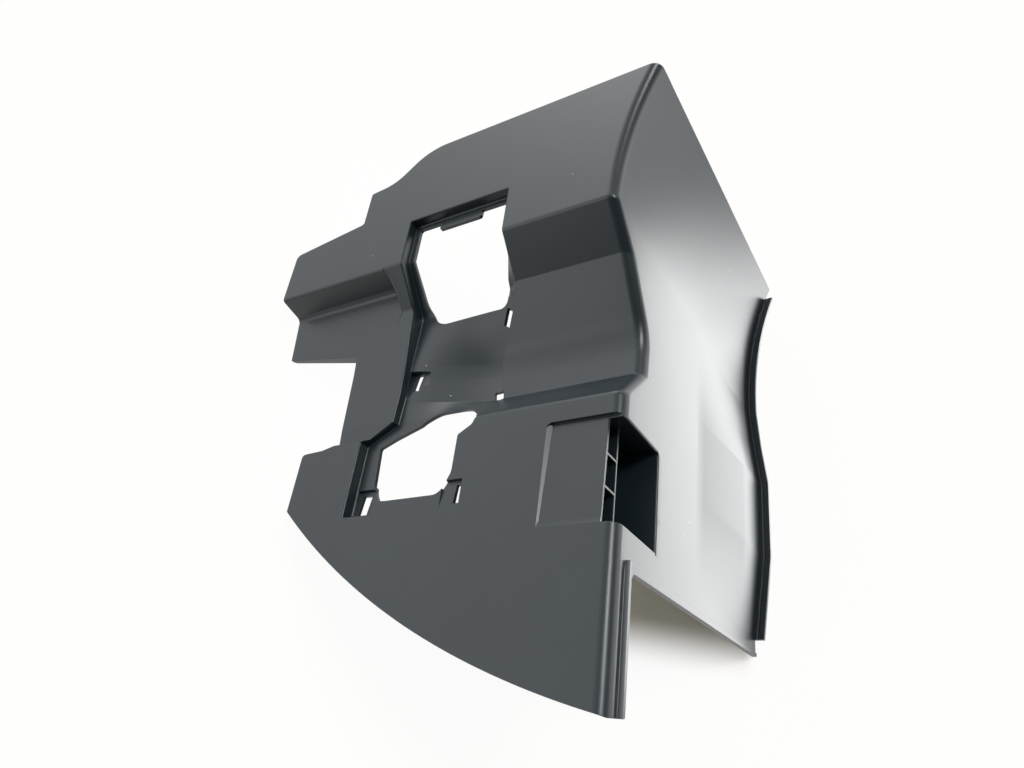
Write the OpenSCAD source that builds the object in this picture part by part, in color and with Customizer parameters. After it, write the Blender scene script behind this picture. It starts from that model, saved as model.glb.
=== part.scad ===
// Battery tray cover: one injection-moulded shell with a stepped face panel and a side wall.
// The shell is drawn in its own moulding frame: X across the panel (0 at the ridge between panel
// and wall), Y along the ridge (0 at the lower edge of the side pocket), Z out of the panel.
// It is then turned about Y, so that it rests on its left edge and on the lip of its wall.

/* [Moulding] */
// Nominal wall thickness of the shell
wall = 2.6; // [2:0.1:3]
// Outer radius of the ridge between panel and side wall
ridge_r = 6; // [4:0.5:8]
// Width of the moulding's steep steps, seen from the front (draft)
draft = 0.8; // [0.5:0.1:1.2]

/* [Panel steps along the ridge] */
// Height of the lower end of the panel below the pocket
tail_len = 95.5; // [85:110]
// Start of the slope that falls into the valley
low_step_y = 79; // [76:84]
// Length of that slope
low_step_run = 25; // [18:30]
// Depth of the valley at its lower side
valley_z = 24; // [18:30]
// Length of the valley floor
valley_len = 29; // [20:36]
// Extra fall of the valley floor towards its upper side
valley_fall = 2; // [0:4]
// Length of the long slope that climbs out of the valley
climb_len = 46; // [40:52]
// Height that the long slope ends at
climb_z = 3; // [0:6]
// Length of the dark upper step
high_step_run = 26; // [20:30]
// Height of the upper plateau
plateau_z = 28; // [22:34]
// Length of the upper plateau
plateau_len = 113; // [100:125]

/* [Left tab] */
// Distance of the tab's left edge from the ridge
left_edge = 291.5; // [270:310]
// Upper edge of the cove between the plateau and the tab's lower level
cove_y = 202; // [200:208]
// Length of that cove
cove_run = 5; // [4:8]
// Height of the lower level at the foot of the cove
cove_foot_z = 6.6; // [4:9]
// Height of the lower level at its free lower edge
tab_edge_z = 3; // [0:4]
// Left end of the gentle slope beside the frame, at its top
slope_left = 188.7; // [184:196]
// Distance that this end leans towards the frame
slope_lean = 8; // [4:10]
// Length of the tab's upper edge below the plateau's upper edge
tab_top_drop = 59.6; // [54:64]
// Lower edge of the tab above the pocket's lower edge
tab_low_y = 160; // [154:170]
// Left edge of the narrow part between the notch and the wing
notch_x = 220; // [214:228]
// Fall of the notch's upper edge towards its inner corner
notch_fall = 11.5; // [8:14]
// Depth of the turned-down edge at the notch's inner corner
notch_flange = 10; // [6:14]
// Distance of the jog in the upper left edge from the ridge
jog_x = 222.1; // [218:226]
// Fall of that edge's soft curve
jog_fall = 24.8; // [20:28]
// Fall of the tab's upper edge towards the left
tab_top_fall = 10.4; // [8:12]

/* [Wing] */
// Distance of the wing's left edge from the ridge
wing_x = 250.8; // [240:262]
// Upper edge of the wing
wing_top_y = 72.3; // [68:75]
// Radius of the long curved lower edge
bow_r = 560; // [520:600]
// Distance of the lowest point of this curve beyond the ridge
bow_x = 115.5; // [105:125]

/* [Window frame] */
// Distance of the frame's left wall from the ridge, beside the upper window
frame_x = 171; // [168:176]
// Distance of the frame's left wall from the ridge, beside the lower window
frame_low_x = 196.5; // [192:202]
// Distance of the frame's right wall from the ridge
frame_right_x = 85; // [80:90]
// Width of the rounded edge beside the upper window
edge_run = 5.4; // [3:0.1:6]
// Depth of that edge
edge_drop = 5; // [3:0.1:6]
// Distance of the fold at the left end of the valley
fold_x = 103; // [98:108]
// Upper wall of the frame
frame_top_y = 243; // [240:250]
// Lower wall of the frame
frame_low_y = 20; // [16:24]
// Depth of the frame below the plateau
frame_depth = 7.5; // [5:10]
// Depth of the frame below the lower panel
frame_low_depth = 8; // [5:10]

/* [Upper window] */
// Floor strip between the frame's left wall and the window
window_left_gap = 4.8; // [3:0.1:7]
// Floor strip between the frame's upper wall and the window
window_top_gap = 4; // [3:0.1:6]
// Floor strip between the frame's right wall and the window
window_right_gap = 2.5; // [2:0.1:4]
// Lower edge of the window below the foot of the dark step
window_low_drop = 13.5; // [11:0.1:15]
// Radius of the window's lower corners
window_r = 15; // [10:18]
// Width of the tab that hangs into the window
window_tab_w = 36.5; // [30:40]
// Height of this tab
window_tab_h = 6; // [4:0.1:8]
// Distance of this tab from the ridge
window_tab_x = 111; // [106:114]

/* [Lower window] */
// Distance of its left edge from the ridge
low_window_left = 183.8; // [180:187]
// Distance of its right edge from the ridge
low_window_right = 113.8; // [108:120]
// Distance of its pointed right-hand end from the ridge
low_window_tip = 101.6; // [98:106]
// Lower edge above the pocket's lower edge
low_window_y = 27.7; // [25:31]
// Width of the dark strip between its upper edge and the frame's wall
low_window_gap = 5.4; // [4:0.1:7]
// Height of the shoulder under the pointed end
shoulder_y = 67.6; // [62:70]
// Radius of the wide lower left corner
low_corner_r = 19; // [14:20]

/* [Clip slots] */
// Width of a slot
slot_w = 4.3; // [3.5:0.1:5]
// Length of a slot
slot_len = 12.6; // [10:0.1:14]
// Width of the wider slot in the frame's lower left corner
wide_slot_w = 7.8; // [6:0.1:9]
// Length of this slot
wide_slot_len = 15.4; // [12:0.1:17]
// Size of the hook hole at the valley's left end
hook_hole = 6.4; // [4:0.1:7]
// Distance of the slots beside the frame's left wall from that wall
slot_gap = 7.2; // [6.5:0.1:8]
// Depth of the ramps that are pressed in around the slots, at their upper ends
ramp_depth = 2.2; // [1.5:0.1:2.5]
// Depth of the ramp beside the frame's left wall
big_ramp_depth = 3.4; // [2.5:0.1:4]
// Width of this ramp
big_ramp_w = 15.6; // [13:0.1:17]
// Length of the ramps
ramp_len = 19; // [17:21]

/* [Side wall] */
// Depth of the side wall below the lower panel
side_depth = 240; // [220:260]
// Radius of the outward flare at the upper end
flare_r = 290; // [260:340]
// Start of the flare
flare_y = 200; // [190:210]
// Share of the flare that is lost towards the lip
flare_loss = 0.08; // [0:0.02:0.3]
// Outward bulge of the wall's rear zone
rear_step = 7.8; // [4:9]
// Depth at which that bulge starts
rear_start = 123; // [110:135]
// Depth at which it has its full height
rear_end = 204; // [190:220]
// Upper end of the bulge's full height
relief_y = 123; // [115:130]
// Length over which the bulge fades out towards the upper end
relief_fade = 67; // [60:75]
// Lower edge of the wall at the ridge, below the pocket
side_low_y = 21.5; // [18:0.5:24]
// Rise of that edge towards the lip
side_low_rise = 11; // [8:13]
// Depth of the narrow flange beside the panel's lower end
tail_depth = 20; // [18:24]
// Slant of the flange's lower end
tail_rise = 2.5; // [0:0.5:5]
// Top of the bead along the flange, as a depth below the panel
tail_bead_top = 10.5; // [9:0.5:12]
// Bottom of this bead
tail_bead_low = 19.6; // [17:0.1:19.8]
// Height of this bead over the wall
tail_bead_h = 2; // [1:0.1:3]
// Height of the hem along the wall's lower edge
hem_h = 0.8; // [0.4:0.1:1.2]
// Width of the hem at the flange
hem_w = 5; // [4:0.1:6]
// Width of the hem at the lip
hem_end_w = 2.6; // [2:0.1:4]

/* [Lip] */
// Width of the lip that stands out from the wall
lip_w = 7.2; // [6:0.1:9]
// Upper end of the lip
lip_top_y = 306; // [300:312]
// Lower end of the lip
lip_low_y = 1; // [-2:3]
// Height of the bead and of the raised band along the lip
bead_h = 1.1; // [0.8:0.1:1.6]
// Width of the bead
bead_w = 0.9; // [0.8:0.1:1.2]
// Distance between the wall and the bead, and between the bead and the band
bead_gap = 1.2; // [1:0.1:1.5]

/* [Pocket] */
// Length of the pocket along the ridge
pocket_len = 63; // [56:66]
// Depth of the pocket
pocket_depth = 52; // [46:58]
// Reach of the pocket behind the panel
pocket_reach = 48; // [44:52]
// Distance from the ridge at which the panel stops in front of the pocket
pad_edge = 10; // [8:12]
// Depth of the pad in front of the pocket, at its upper end
pad_depth = 2.6; // [2:0.1:3]
// Slant of the pad's left edge
pad_slant = 1.6; // [0.5:0.1:2]
// Radius of the pad's upper left corner
pad_corner_r = 4; // [2:0.5:6]
// Radius of the pocket's rim in the side wall, and of its deep upper corner
rim_r = 2.6; // [1.5:0.1:3]
// Depth of the shelf inside the pocket
shelf_z = 16.4; // [14:0.1:19]
// Thickness of the shelf and of the two webs that carry it
web_t = 1.4; // [1:0.1:2]
// Height of the upper web above the pocket's lower edge
web_y = 41.5; // [38:0.5:46]
// Distance between the two webs
web_gap = 20; // [16:24]

/* [Hidden] */
$fn = 48;
plastic = [0.2, 0.21, 0.23];
big = 400;
deep = 60;
arc_steps = 3;
ridge_steps = 5;
floor_cols = 5;
edge_steps = 2;
slope_edge_r = 3;
half = draft / 2;

// Levels and stations that follow from the sizes above
valley_y = low_step_y + low_step_run;
valley_top_y = valley_y + valley_len;
valley_top_z = -valley_z - valley_fall;
climb_y = valley_top_y + climb_len;
plateau_y = climb_y + high_step_run;
top_y = plateau_y + plateau_len;
tab_top_y = top_y - tab_top_drop;
frame_top_z = plateau_z - frame_depth;
frame_mid_z = -frame_low_depth + 2;
low_wall_y = wing_top_y + 2;
high_wall_y = low_step_y + 9;

// Small vector helpers
function unit(v) = v / norm(v);
function right_normal(v) = [v[1], -v[0]];
function flat(lists) = [for (l = lists) each l];

// Points of an arc of radius r that rounds the corner q between p and s
function corner(p, q, s, r, n) =
    let (u = unit(p - q), v = unit(s - q), bend = norm(u + v))
    (r <= 0 || bend < 0.02) ? [q] :
    let (
        opening = acos(max(-1, min(1, u * v))) / 2,
        reach = r / tan(opening),
        centre = q + unit(u + v) * (r / sin(opening)),
        first = q + u * reach - centre,
        last = q + v * reach - centre,
        sweep = 180 - 2 * opening
    )
    [for (i = [0 : n])
        centre + (first * sin(sweep * (1 - i / n)) + last * sin(sweep * i / n)) / sin(sweep)];

function xy(p) = [p[0], p[1]];
function radius_of(p) = len(p) > 2 ? p[2] : 0;

// Open path of [a, b, radius] with its inner corners rounded
function rounded_path(p, n) = flat([
    [xy(p[0])],
    for (i = [1 : len(p) - 2]) corner(xy(p[i - 1]), xy(p[i]), xy(p[i + 1]), radius_of(p[i]), n),
    [xy(p[len(p) - 1])]
]);

// Closed outline of [a, b, radius] with all its corners rounded
function rounded_outline(p, n) = let (m = len(p)) flat([
    for (i = [0 : m - 1])
        corner(xy(p[(i + m - 1) % m]), xy(p[i]), xy(p[(i + 1) % m]), radius_of(p[i]), n)
]);

// The same path moved down into the material by d, with its radii following
function lowered(p, d) = [for (i = [0 : len(p) - 1])
    let (
        into = i > 0 ? unit(xy(p[i]) - xy(p[i - 1])) : unit(xy(p[1]) - xy(p[0])),
        out = i < len(p) - 1 ? unit(xy(p[i + 1]) - xy(p[i])) : into,
        m = (right_normal(into) + right_normal(out)) / (1 + right_normal(into) * right_normal(out)),
        turn = into[0] * out[1] - into[1] * out[0],
        r = radius_of(p[i]),
        new_r = r == 0 ? 0 : (turn < 0 ? max(0.4, r - d) : r + d)
    )
    [p[i][0] + m[0] * d, p[i][1] + m[1] * d, new_r]];

function sorted(v) = len(v) < 2 ? v :
    let (pivot = v[floor(len(v) / 2)])
    concat(sorted([for (x = v) if (x < pivot) x]), [pivot], sorted([for (x = v) if (x > pivot) x]));

function spaced(v, gap) = [for (i = [0 : len(v) - 1]) if (i == 0 || v[i] - v[i - 1] > gap) v[i]];

// Side profiles of the panel, as [distance along the ridge, height, corner radius]
right_profile = [
    [-big, 0], [low_step_y, 0, 5], [valley_y, -valley_z, 5], [valley_top_y, valley_top_z, 14],
    [climb_y, climb_z, 4], [plateau_y, plateau_z, 4], [big, plateau_z]
];
lower_level = [
    [-big, 0], [wing_top_y + 3.2, 0], [wing_top_y + 5.4, -3.4], [wing_top_y + 16, -2.3],
    [valley_top_y, 0], [tab_low_y + 2, tab_edge_z]
];
slope_profile = concat(lower_level, [
    [climb_y - 2, (tab_edge_z + cove_foot_z) / 2, 4], [plateau_y - 1, plateau_z, 4], [big, plateau_z]]);
tab_profile = concat(lower_level, [
    [cove_y - cove_run, cove_foot_z, 5], [cove_y, plateau_z, 3], [big, plateau_z]]);
frame_left_profile = [
    [-big, 0], [frame_low_y - half, 0], [frame_low_y + half, -frame_low_depth],
    [high_wall_y, -frame_low_depth], [valley_top_y, frame_mid_z], [climb_y - 3, frame_mid_z - 1.5, 8],
    [plateau_y + 4, frame_top_z, 6], [frame_top_y - half, frame_top_z],
    [frame_top_y + half, plateau_z], [big, plateau_z]
];
frame_right_profile = [
    [-big, 0], [frame_low_y - half, 0], [frame_low_y + half, -frame_low_depth],
    [low_step_y + 8, -frame_low_depth], [valley_y, -valley_z], [valley_top_y, valley_top_z, 14],
    [climb_y - 8, climb_z - 5], [climb_y - 1, climb_z - edge_drop, 4], [plateau_y + 4, frame_top_z, 6],
    [frame_top_y - half, frame_top_z],
    [frame_top_y + half, plateau_z], [big, plateau_z]
];

// Lines of the panel seen from the front: how far each lies from the ridge at y
function slope_end(y) = lookup(y, [
    [low_wall_y, frame_low_x + 10], [climb_y - 22, slope_left], [climb_y, slope_left - slope_lean],
    [climb_y + 18, slope_left - 2], [plateau_y, slope_left]]);
function frame_wall(y) = lookup(y, [[low_wall_y, frame_low_x], [high_wall_y, frame_x + 2], [valley_y + 6, frame_x]]);
function fold_run(y) = lookup(y, [
    [climb_y - 10, draft], [climb_y - 1, edge_run], [climb_y + 9, edge_run], [plateau_y - 4, draft]]);
function fold_line(y) = lookup(y, [
    [frame_low_y + 13, frame_low_x - 23], [frame_low_y + 30, frame_low_x - 48],
    [low_step_y - 9, fold_x + 20], [low_step_y, fold_x + 1], [valley_y, fold_x - 2],
    [valley_top_y, fold_x + 1], [climb_y, frame_right_x]]);

// Outer face of the side wall: its distance from the ridge line at y and z
function flare(y) = y > flare_y ? flare_r - sqrt(flare_r * flare_r - pow(y - flare_y, 2)) : 0;
function step_share(y) = lookup(y, [
    [0, 0], [pocket_len, 0.95], [relief_y, 1], [relief_y + relief_fade / 2, 0.4], [relief_y + relief_fade, 0]]);
function wall_x(y, z) =
    let (along = min(1, (plateau_z - z) / (plateau_z + side_depth)))
    flare(y) * (1 - flare_loss * along)
    + rear_step * step_share(y) * lookup(-z, [[rear_start, 0], [rear_end, 1]]);

// A solid block whose top is the panel and whose right side is the side wall.
// With inset 0 it is the outer form, and with inset wall the inner form of the mould.
module form(inset) {
    right = rounded_path(lowered(right_profile, inset), arc_steps);
    slope = rounded_path(lowered(slope_profile, inset), arc_steps);
    tab = rounded_path(lowered(tab_profile, inset), arc_steps);
    frame_l = rounded_path(lowered(frame_left_profile, inset), arc_steps);
    frame_r = rounded_path(lowered(frame_right_profile, inset), arc_steps);
    reach = inset > 0 ? 10 : 0;
    first = -tail_len - 15 - reach;
    last = top_y + 15 + reach;
    marks = [
        first, last, 0, pocket_len, relief_y, relief_y + relief_fade / 2, relief_y + relief_fade,
        frame_low_y + 13, frame_low_y + 30, low_step_y - 9, climb_y - 22, climb_y + 18,
        low_wall_y, high_wall_y, tab_low_y - 10, climb_y - 10, climb_y + 9, plateau_y - 4,
        for (i = [0 : 6]) flare_y + i * (top_y - flare_y) / 6
    ];
    paths = flat([right, slope, tab, frame_l, frame_r]);
    all_y = concat(marks, [for (p = paths) if (p[0] > first && p[0] < last) p[0]]);
    rows = spaced(sorted(all_y), 0.05);
    left = -left_edge - 30 - reach;
    base = -side_depth - 2 * wall - reach;
    r = ridge_r - inset;
    edge_r = max(0.4, slope_edge_r - inset);
    function ring(y) =
        let (zr = lookup(y, right), zt = lookup(y, tab), zs = lookup(y, slope),
             zl = lookup(y, frame_l), zf = min(lookup(y, frame_r), zr),
             top_x = wall_x(y, zr) - inset)
        [
            [left, y, base], [left, y, zt],
            [-slope_end(y) - half + inset, y, zt],
            for (i = [0 : edge_steps]) let (a = 90 * i / edge_steps)
                [-slope_end(y) + half + inset + edge_r * (1 - cos(a)), y,
                    zs - (1 - sin(a)) * min(edge_r, max(0, zs - zt))],
            [-frame_wall(y) - half - inset, y, zs], [-frame_wall(y) + half - inset, y, zl],
            for (i = [1 : floor_cols]) let (k = i / (floor_cols + 1), e = k * k * (3 - 2 * k))
                [-(frame_wall(y) + inset) * (1 - k) - (fold_line(y) + fold_run(y) - inset) * k,
                    y, zl * (1 - e) + zf * e],
            [-fold_line(y) - fold_run(y) + inset, y, zf], [-fold_line(y) + inset, y, zr],
            for (i = [0 : ridge_steps]) let (a = 90 * i / ridge_steps)
                [top_x - r + r * sin(a), y, zr - r + r * cos(a)],
            for (z = [-rear_start, -rear_end, -side_depth]) [wall_x(y, z) - inset, y, z],
            [wall_x(y, -side_depth) - inset, y, base]
        ];
    rings = [for (y = rows) ring(y)];
    n = len(rings[0]);
    m = len(rows);
    polyhedron(
        points = flat(rings),
        faces = concat(
            [[for (k = [0 : n - 1]) k]],
            [[for (k = [n - 1 : -1 : 0]) (m - 1) * n + k]],
            flat([for (i = [0 : m - 2], k = [0 : n - 1]) let (l = (k + 1) % n) [
                [i * n + k, (i + 1) * n + k, (i + 1) * n + l],
                [i * n + k, (i + 1) * n + l, i * n + l]]])
        )
    );
}

// Outline of the panel from the front. The long lower edge is one arc.
bow_y = sqrt(bow_r * bow_r - bow_x * bow_x) - tail_len;
bow_steps = 24;
bow_end = 60;
function bow(x) = [x, bow_y - sqrt(bow_r * bow_r - pow(x - bow_x, 2))];
panel_outline = concat(
    rounded_outline([
        [big, top_y], [-jog_x + 53, top_y, 45], [-jog_x + 23.6, top_y - jog_fall, 35],
        [-jog_x, top_y - jog_fall - 2.5, 1.5], [-jog_x, tab_top_y, 2.5],
        [-left_edge, tab_top_y - tab_top_fall, 5], [-left_edge, tab_low_y, 1],
        [-notch_x, tab_low_y - notch_fall, 1.5], [-notch_x, wing_top_y + 3.6],
        [-notch_x - 12, wing_top_y + 0.8], [-wing_x, wing_top_y, 3], [-wing_x, bow(-wing_x)[1], 1]
    ], 6),
    [for (i = [1 : bow_steps]) bow(-wing_x + i * (wing_x + bow_end) / bow_steps)],
    [[big, bow(bow_end)[1]]]
);

module panel_area() {
    translate([0, 0, -big]) linear_extrude(2 * big) polygon(panel_outline);
}

// Turns a drawing of (y, z) so that its extrusion runs along x, from x0 over a length
module across(x0, length) {
    translate([x0, 0, 0]) rotate([90, 0, 90]) linear_extrude(length) children();
}

module side_area() {
    across(-big, 2 * big) polygon(rounded_outline([
        [big, big], [big, -side_depth - wall], [-side_low_y + side_low_rise, -side_depth - wall],
        [-side_low_y, -tail_depth - 2, 3], [-side_low_y - 3, -tail_depth],
        [-tail_len + tail_rise, -tail_depth], [-tail_len, -wall], [-tail_len, big]
    ], 4));
}

// The pad is a shallow ramp pressed into the panel in front of the pocket
module pad_cut(inset) {
    left = -pocket_reach - 1;
    top = pocket_len + 2 + inset;
    intersection() {
        across(left - inset, pocket_reach + 1 + 2 * inset) polygon([
            [3 - inset, deep], [3 - inset, -inset + 0.01], [top, -pad_depth - inset], [top, deep]
        ]);
        translate([0, big, 0]) rotate([90, 0, 0]) linear_extrude(2 * big) polygon([
            [left - inset, deep], [left - inset, 0], [left - inset + pad_slant, -pad_depth - inset],
            [left - inset + pad_slant, -deep], [big, -deep], [big, deep]
        ]);
        translate([0, 0, -deep]) linear_extrude(2 * deep) polygon(rounded_outline([
            [left - inset, top, pad_corner_r + inset], [left - inset, -deep], [big, -deep], [big, top]], 4));
    }
}

// A ramp pressed into the panel from y up over its length, deep at its upper end
module ramp(x, width, y, level, depth, inset) {
    across(x - inset, width + 2 * inset) polygon([
        [y - inset, level + 1], [y - inset, level - inset + 0.01],
        [y + ramp_len + inset, level - depth - inset], [y + ramp_len + depth / 2 + inset, level + 1]
    ]);
}

module pressed_in(inset) {
    pad_cut(inset);
    // Beside the frame's left wall, in its lower left corner, and beside the lower window
    ramp(-frame_x + 0.6, big_ramp_w, valley_top_y - ramp_len - 5, -frame_low_depth + 1, big_ramp_depth, inset);
    ramp(-frame_low_x + 1.6, deep / 3, frame_low_y + 1.5, -frame_low_depth, ramp_depth, inset);
    ramp(-low_window_right - 5, slot_gap * 2, low_window_y - 11, 0, ramp_depth, inset);
}

module skin() {
    intersection() {
        union() {
            difference() {
                difference() {
                    form(0);
                    pressed_in(0);
                }
                difference() {
                    form(wall);
                    pressed_in(wall);
                }
            }
            notch_edge();
            tail_bead();
            side_hem();
        }
        panel_area();
        side_area();
    }
}

// A prism through the panel with a rounded outline
module through(points) {
    translate([0, 0, -deep]) linear_extrude(2 * deep) polygon(rounded_outline(points, 6));
}

module upper_window() {
    left = -frame_x + window_left_gap;
    right = -frame_right_x - window_right_gap;
    top = frame_top_y - window_top_gap;
    tab_right = -window_tab_x;
    tab_left = tab_right - window_tab_w;
    low = climb_y - window_low_drop;
    through([
        [left, top, 2], [tab_left, top, 0.5], [tab_left, top - window_tab_h, 1.5],
        [tab_right, top - window_tab_h, 2], [tab_right, top, 0.5], [right, top, 1],
        [right, plateau_y - 6, 8], [right - edge_run + draft, climb_y + 4, 6],
        [right - edge_run + draft, low, window_r * 0.7], [left + 12, low + 0.5, window_r],
        [left + 2, climb_y + 5, window_r], [left, plateau_y + 6, window_r]
    ]);
}

module lower_window() {
    left = -low_window_left;
    right = -low_window_right;
    top = low_step_y + low_step_run / 2 + 1.5;
    corner_y = low_wall_y - low_window_gap / 2;
    through([
        [left - 0.6, corner_y, 2], [left + 12, corner_y + low_window_gap, 6], [left + 32, corner_y + 12.5, 6],
        [left + 44, top - 0.5, 16], [-low_window_tip - 15, top + 2.5, 16], [-low_window_tip, low_step_y, 1],
        [-low_window_tip - 2.6, shoulder_y + 6, 3], [right, shoulder_y, 2], [right, low_window_y + 14, 12],
        [right - 6.5, low_window_y, 9], [left + 2.8, low_window_y, low_corner_r]
    ]);
}

// A slot w wide and len long, with its middle at (x, y), turned by an angle
module slot(x, y, w, len, angle) {
    translate([x, y, -deep]) rotate([0, 0, angle]) linear_extrude(2 * deep) square([w, len], center = true);
}

module slots() {
    // Along the fold, below the upper window
    slot(-fold_x + 8, climb_y - 19.5, slot_w, slot_len - 2, -28);
    // Beside the frame's left wall
    slot(-frame_x + slot_gap, valley_top_y - 12.4, slot_w + 1, slot_len + 1.6, -2);
    // In the frame's lower left corner
    slot(-frame_low_x + slot_gap + 1.8, frame_low_y + 10, wide_slot_w, wide_slot_len, -2);
    // Beside the lower window
    slot(-low_window_right + slot_gap, low_window_y - 0.8, slot_w, slot_len, 0);
    // Hook hole at the valley's left end
    slot(-fold_x - 0.4, valley_y + 3, hook_hole, hook_hole, 8);
}

// The lip follows the end of the side wall
module lip_strip(from_x, to_x, z0, z1) {
    steps = 24;
    ys = [for (i = [0 : steps]) lip_low_y + i * (lip_top_y - lip_low_y) / steps];
    translate([0, 0, z0]) linear_extrude(z1 - z0) polygon(concat(
        [for (y = ys) [wall_x(y, -side_depth) + from_x, y]],
        [for (i = [steps : -1 : 0]) [wall_x(ys[i], -side_depth) + to_x, ys[i]]]
    ));
}

module lip() {
    lip_strip(-wall / 2, lip_w, -side_depth - 0.9 * wall, -side_depth);
    lip_strip(bead_gap, bead_gap + bead_w, -side_depth - wall / 2, -side_depth + bead_h);
    lip_strip(2 * bead_gap + bead_w, lip_w, -side_depth - wall / 2, -side_depth + bead_h / 2);
}

// The pocket seen from the side, with its deep upper corner rounded
module pocket_area(extra, low_top, high_top) {
    polygon(rounded_outline([
        [-extra, low_top], [-extra, -pocket_depth - extra],
        [pocket_len + extra, -pocket_depth - extra, rim_r + extra], [pocket_len + extra, high_top]], 4));
}

module pocket_box() {
    across(-pocket_reach - wall, pocket_reach + wall) pocket_area(wall, -wall / 2, -pad_depth - wall / 2);
}

// What is cut off the rim's edge, over a square whose corner is the edge itself
module rim_section() {
    polygon(concat(corner([0, -rim_r], [0, 0], [rim_r, 0], rim_r, 4), [[rim_r, 1], [-1, 1], [-1, -rim_r]]));
}

module pocket_space() {
    across(-pocket_reach, big) pocket_area(0, 0.1 - wall, 0.3 - pad_depth - wall);
    across(-pad_edge, big) translate([0, -2 * wall])
        square([pocket_len, deep]);
    rotate([90, 0, 90]) {
        translate([0, -pocket_depth, 0]) rotate([90, 0, 90]) linear_extrude(pocket_len - rim_r)
            mirror([1, 0]) rim_section();
        translate([pocket_len, 0, 0]) rotate([90, 0, 0]) linear_extrude(pocket_depth - rim_r) rim_section();
        translate([pocket_len - rim_r, rim_r - pocket_depth, 0]) rotate([0, 0, -90])
            rotate_extrude(angle = 90) translate([rim_r, 0]) rim_section();
    }
}

// A shelf under the pad, carried by two webs that end at the pad's free edge
module pocket_shelf() {
    depth = pocket_reach - pad_edge + wall / 2 - 0.4;
    translate([-pocket_reach - wall / 2, -wall / 2, -shelf_z - web_t])
        cube([depth, pocket_len + wall, web_t]);
    for (y = [web_y - web_gap, web_y])
        translate([-pocket_reach - wall / 2, y, -shelf_z - web_t / 2])
            cube([depth, web_t, shelf_z + web_t / 2 - wall]);
}

// Turned-down edge of the tab above the notch
module notch_edge() {
    edge_len = norm([left_edge - notch_x, notch_fall]);
    translate([-left_edge, tab_low_y, 0]) rotate([0, 0, -atan2(notch_fall, left_edge - notch_x)])
        rotate([90, 0, 0]) translate([0, 0, -wall]) linear_extrude(wall + 2) polygon([
            [2, tab_edge_z - 0.8], [edge_len - 1.5, tab_edge_z - 2],
            [edge_len - 1.5, tab_edge_z - notch_flange], [2, tab_edge_z - 4]
        ]);
}

// Bead on the narrow flange beside the panel's lower end, with a round upper end
module tail_bead() {
    bead_end = -side_low_y + hem_w;
    bead_r = (tail_bead_low - tail_bead_top) / 2;
    round_r = (bead_r * bead_r + tail_bead_h * tail_bead_h) / (2 * tail_bead_h);
    intersection() {
        translate([0, bead_end, 0]) rotate([90, 0, 0]) linear_extrude(tail_len)
            translate([tail_bead_h - round_r, -tail_bead_top - bead_r]) circle(round_r, $fn = 96);
        across(-wall / 2, 2 * wall) polygon(rounded_outline([
            [-big, -tail_bead_top], [bead_end, -tail_bead_top, bead_r],
            [bead_end, -tail_bead_low, bead_r], [-big, -tail_bead_low]], 5));
    }
}

// Thickened hem along the lower edge of the side wall, from the bead's end to the lip
module side_hem() {
    start = -tail_bead_top - 2;
    foot = -side_low_y + side_low_rise;
    across(-wall / 2, wall / 2 + hem_h) polygon(rounded_outline([
        [-side_low_y - 2, start], [-side_low_y + hem_w, start, 2],
        [foot + hem_end_w, -side_depth - 2 * wall], [foot - 1, -side_depth - 2 * wall]
    ], 4));
}

// Rest pose: the tab's left edge and the foot of the wall touch the ground
tab_inside = rounded_path(lowered(tab_profile, wall), arc_steps);
tab_foot = [-left_edge, lookup(tab_low_y, tab_inside)];
wall_foot = [wall_x(flare_y, -side_depth) - wall, -side_depth - wall];
lean = -atan2(tab_foot[1] - wall_foot[1], wall_foot[0] - tab_foot[0]);
function turned(p) = [p[0] * cos(lean) + p[1] * sin(lean), -p[0] * sin(lean) + p[1] * cos(lean)];
widest = turned([wall_x(lip_top_y, -side_depth) + lip_w, -side_depth - wall])[0];
narrowest = turned([-left_edge, plateau_z])[0];
ground = turned(tab_foot)[1];
middle_y = (top_y - tail_len) / 2;

module shell() {
    color(plastic)
    translate([-(widest + narrowest) / 2, -middle_y, -ground]) rotate([0, lean, 0]) {
        difference() {
            union() {
                skin();
                lip();
                pocket_box();
            }
            pocket_space();
            upper_window();
            lower_window();
            slots();
        }
        pocket_shelf();
    }
}

shell();
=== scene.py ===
import math

import bmesh
import bpy
import numpy as np
from mathutils import Matrix, Vector


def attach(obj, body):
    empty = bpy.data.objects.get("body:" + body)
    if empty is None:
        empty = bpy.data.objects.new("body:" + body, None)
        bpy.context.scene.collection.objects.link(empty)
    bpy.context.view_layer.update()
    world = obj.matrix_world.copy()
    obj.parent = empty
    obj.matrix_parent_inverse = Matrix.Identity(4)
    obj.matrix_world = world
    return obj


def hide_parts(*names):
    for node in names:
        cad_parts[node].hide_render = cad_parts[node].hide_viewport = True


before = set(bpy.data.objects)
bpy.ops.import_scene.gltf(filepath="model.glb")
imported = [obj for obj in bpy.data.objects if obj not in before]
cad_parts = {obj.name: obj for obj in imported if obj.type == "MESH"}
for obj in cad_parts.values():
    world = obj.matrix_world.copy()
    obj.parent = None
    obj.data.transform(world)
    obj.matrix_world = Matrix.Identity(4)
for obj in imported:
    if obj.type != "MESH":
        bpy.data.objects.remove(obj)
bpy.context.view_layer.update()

bl_info = {
    "name": "Battery tray shell",
    "version": (1, 0, 0),
    "blender": (4, 5, 0),
    "location": "3D View > Sidebar > Battery tray",
    "description": "Moulded battery tray shell with its plastic, floor, lights and camera",
    "category": "Object",
}

MM = 0.001
FAR = 400.0
DEEP = 60.0


def length(name, text, millimetres):
    """A length that a user can change, given in millimetres."""
    return bpy.props.FloatProperty(
        name=name, description=text, default=millimetres * MM, unit="LENGTH", subtype="DISTANCE", precision=5)


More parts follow.
